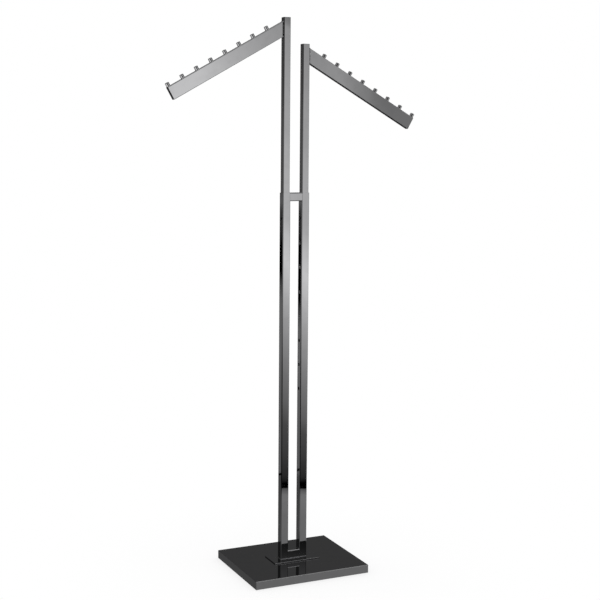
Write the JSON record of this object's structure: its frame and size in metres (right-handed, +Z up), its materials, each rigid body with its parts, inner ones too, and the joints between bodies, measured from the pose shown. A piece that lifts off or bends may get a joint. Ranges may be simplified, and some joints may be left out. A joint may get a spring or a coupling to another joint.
{
  "type": "two way clothing rack",
  "caption": "Free-standing chrome garment rack with a weighted flat base, a square-tube frame and height-adjustable uprights carrying sloping pinned arms.",
  "frame": {"origin": "on the floor, under the centre of the base", "axes": "+X along the right arm, +Y to the back, +Z up"},
  "size_m": [0.8272, 0.3174, 1.7089],
  "materials": {
    "chrome_base": "mirror polished chrome plate",
    "chrome_plate": "polished chrome plate",
    "chrome_tube": "bright chrome plated tube",
    "chrome_upright": "bright chrome plated tube with faint sliding marks",
    "chrome_cap": "bright chrome plate",
    "chrome_arm": "bright chrome plated tube",
    "chrome_pin": "bright chrome plated stud",
    "nickel_button": "nickel plated, worn bright",
    "spring_steel": "blued spring steel",
    "zinc_steel": "zinc plated",
    "ballast_steel": "oiled mill steel",
    "black_rubber": "moulded rubber",
    "black_plastic": "moulded, satin",
    "black_nylon": "moulded nylon"
  },
  "bodies": {
    "stand": {"base_cover": "chrome_base", "ballast_plate": "ballast_steel", "rubber_feet": "black_rubber", "foot_screws": "zinc_steel", "foot_plate": "chrome_plate", "top_crossbar": "chrome_tube", "bottom_crossbar": "chrome_tube", "tube_plugs": "ballast_steel", "bolt_washers": "zinc_steel", "frame_bolts": "zinc_steel", "frame_tube_left": "chrome_tube", "frame_tube_right": "chrome_tube", "guide_bush_left": "black_nylon", "guide_bush_right": "black_nylon"},
    "left_upright": {"upright_tube_left": "chrome_upright", "top_cap_left": "chrome_cap", "arm_tube_left": "chrome_arm", "arm_end_cap_left": "black_plastic", "hanger_pins_left": "chrome_pin", "button_spring_left": "spring_steel"},
    "right_upright": {"upright_tube_right": "chrome_upright", "top_cap_right": "chrome_cap", "arm_tube_right": "chrome_arm", "arm_end_cap_right": "black_plastic", "hanger_pins_right": "chrome_pin", "button_spring_right": "spring_steel"},
    "left_button": {"snap_button_left": "nickel_button"},
    "right_button": {"snap_button_right": "nickel_button"}
  },
  "joints": [
    {"name": "left_height", "type": "slide", "parent": "stand", "child": "left_upright", "axis": [0, 0, 1], "range_m": [-0.4572, 0]},
    {"name": "right_height", "type": "slide", "parent": "stand", "child": "right_upright", "axis": [0, 0, 1], "range_m": [-0.381, 0.0762]},
    {"name": "left_button_press", "type": "slide", "parent": "left_upright", "child": "left_button", "axis": [-1, 0, 0], "range_m": [0, 0.0054], "stiffness_N_per_m": 1500, "springref_m": -0.002, "deforming": ["button_spring_left"]},
    {"name": "right_button_press", "type": "slide", "parent": "right_upright", "child": "right_button", "axis": [1, 0, 0], "range_m": [0, 0.0054], "stiffness_N_per_m": 1500, "springref_m": -0.002, "deforming": ["button_spring_right"]}
  ]
}
